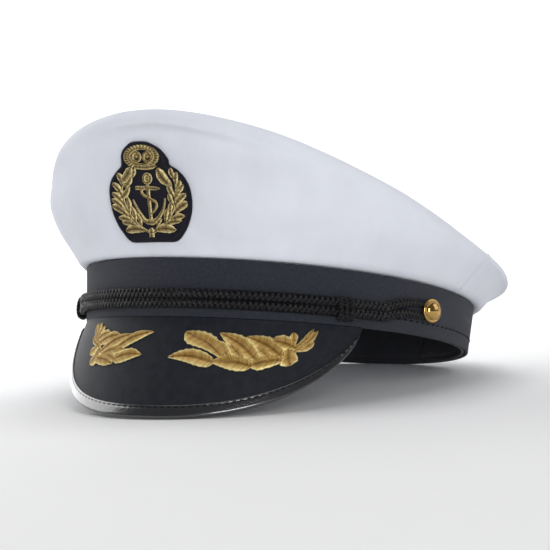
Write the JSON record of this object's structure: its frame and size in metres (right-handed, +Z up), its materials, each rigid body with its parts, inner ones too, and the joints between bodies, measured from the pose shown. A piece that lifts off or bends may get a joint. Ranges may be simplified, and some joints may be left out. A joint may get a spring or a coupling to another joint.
{
  "type": "captain's peaked cap",
  "caption": "White-topped captain's cap with a dark band, a stiff peak, embroidered nautical badge and leaf sprigs, and a chin cord held by gilt buttons.",
  "frame": {"origin": "centre of the cap's bounding box, on the surface that it rests on", "axes": "+Z up from the surface, front of the cap toward -Y, wearer's left toward +X"},
  "size_m": [0.2118, 0.2517, 0.1363],
  "materials": {
    "white_cloth": "smooth white cotton twill, matte",
    "band_cloth": "fine ribbed charcoal-black cloth, matte",
    "sweatband_leather": "thin black leathercloth, satin",
    "peak_cloth": "stiffened black cloth, satin",
    "binding_vinyl": "glossy black vinyl edging, stitched",
    "cord_thread": "braided black rayon cord",
    "gilt_metal": "polished gilt",
    "gold_thread": "antique gold thread in satin stitch",
    "badge_felt": "navy-black felt with a corded edge"
  },
  "bodies": {
    "root": {"crown": "white_cloth", "hat_band": "band_cloth", "sweatband": "sweatband_leather", "peak": "peak_cloth", "peak_binding": "binding_vinyl", "cord_upper": "cord_thread", "cord_lower": "cord_thread", "cord_knot_right": "cord_thread", "cord_loop_right": "cord_thread", "button_right": "gilt_metal", "leaf_sprig_right": "gold_thread", "cord_knot_left": "cord_thread", "cord_loop_left": "cord_thread", "button_left": "gilt_metal", "leaf_sprig_left": "gold_thread", "badge_patch": "badge_felt", "badge_wreath": "gold_thread", "badge_anchor": "gold_thread", "badge_crown": "gold_thread"}
  },
  "joints": []
}
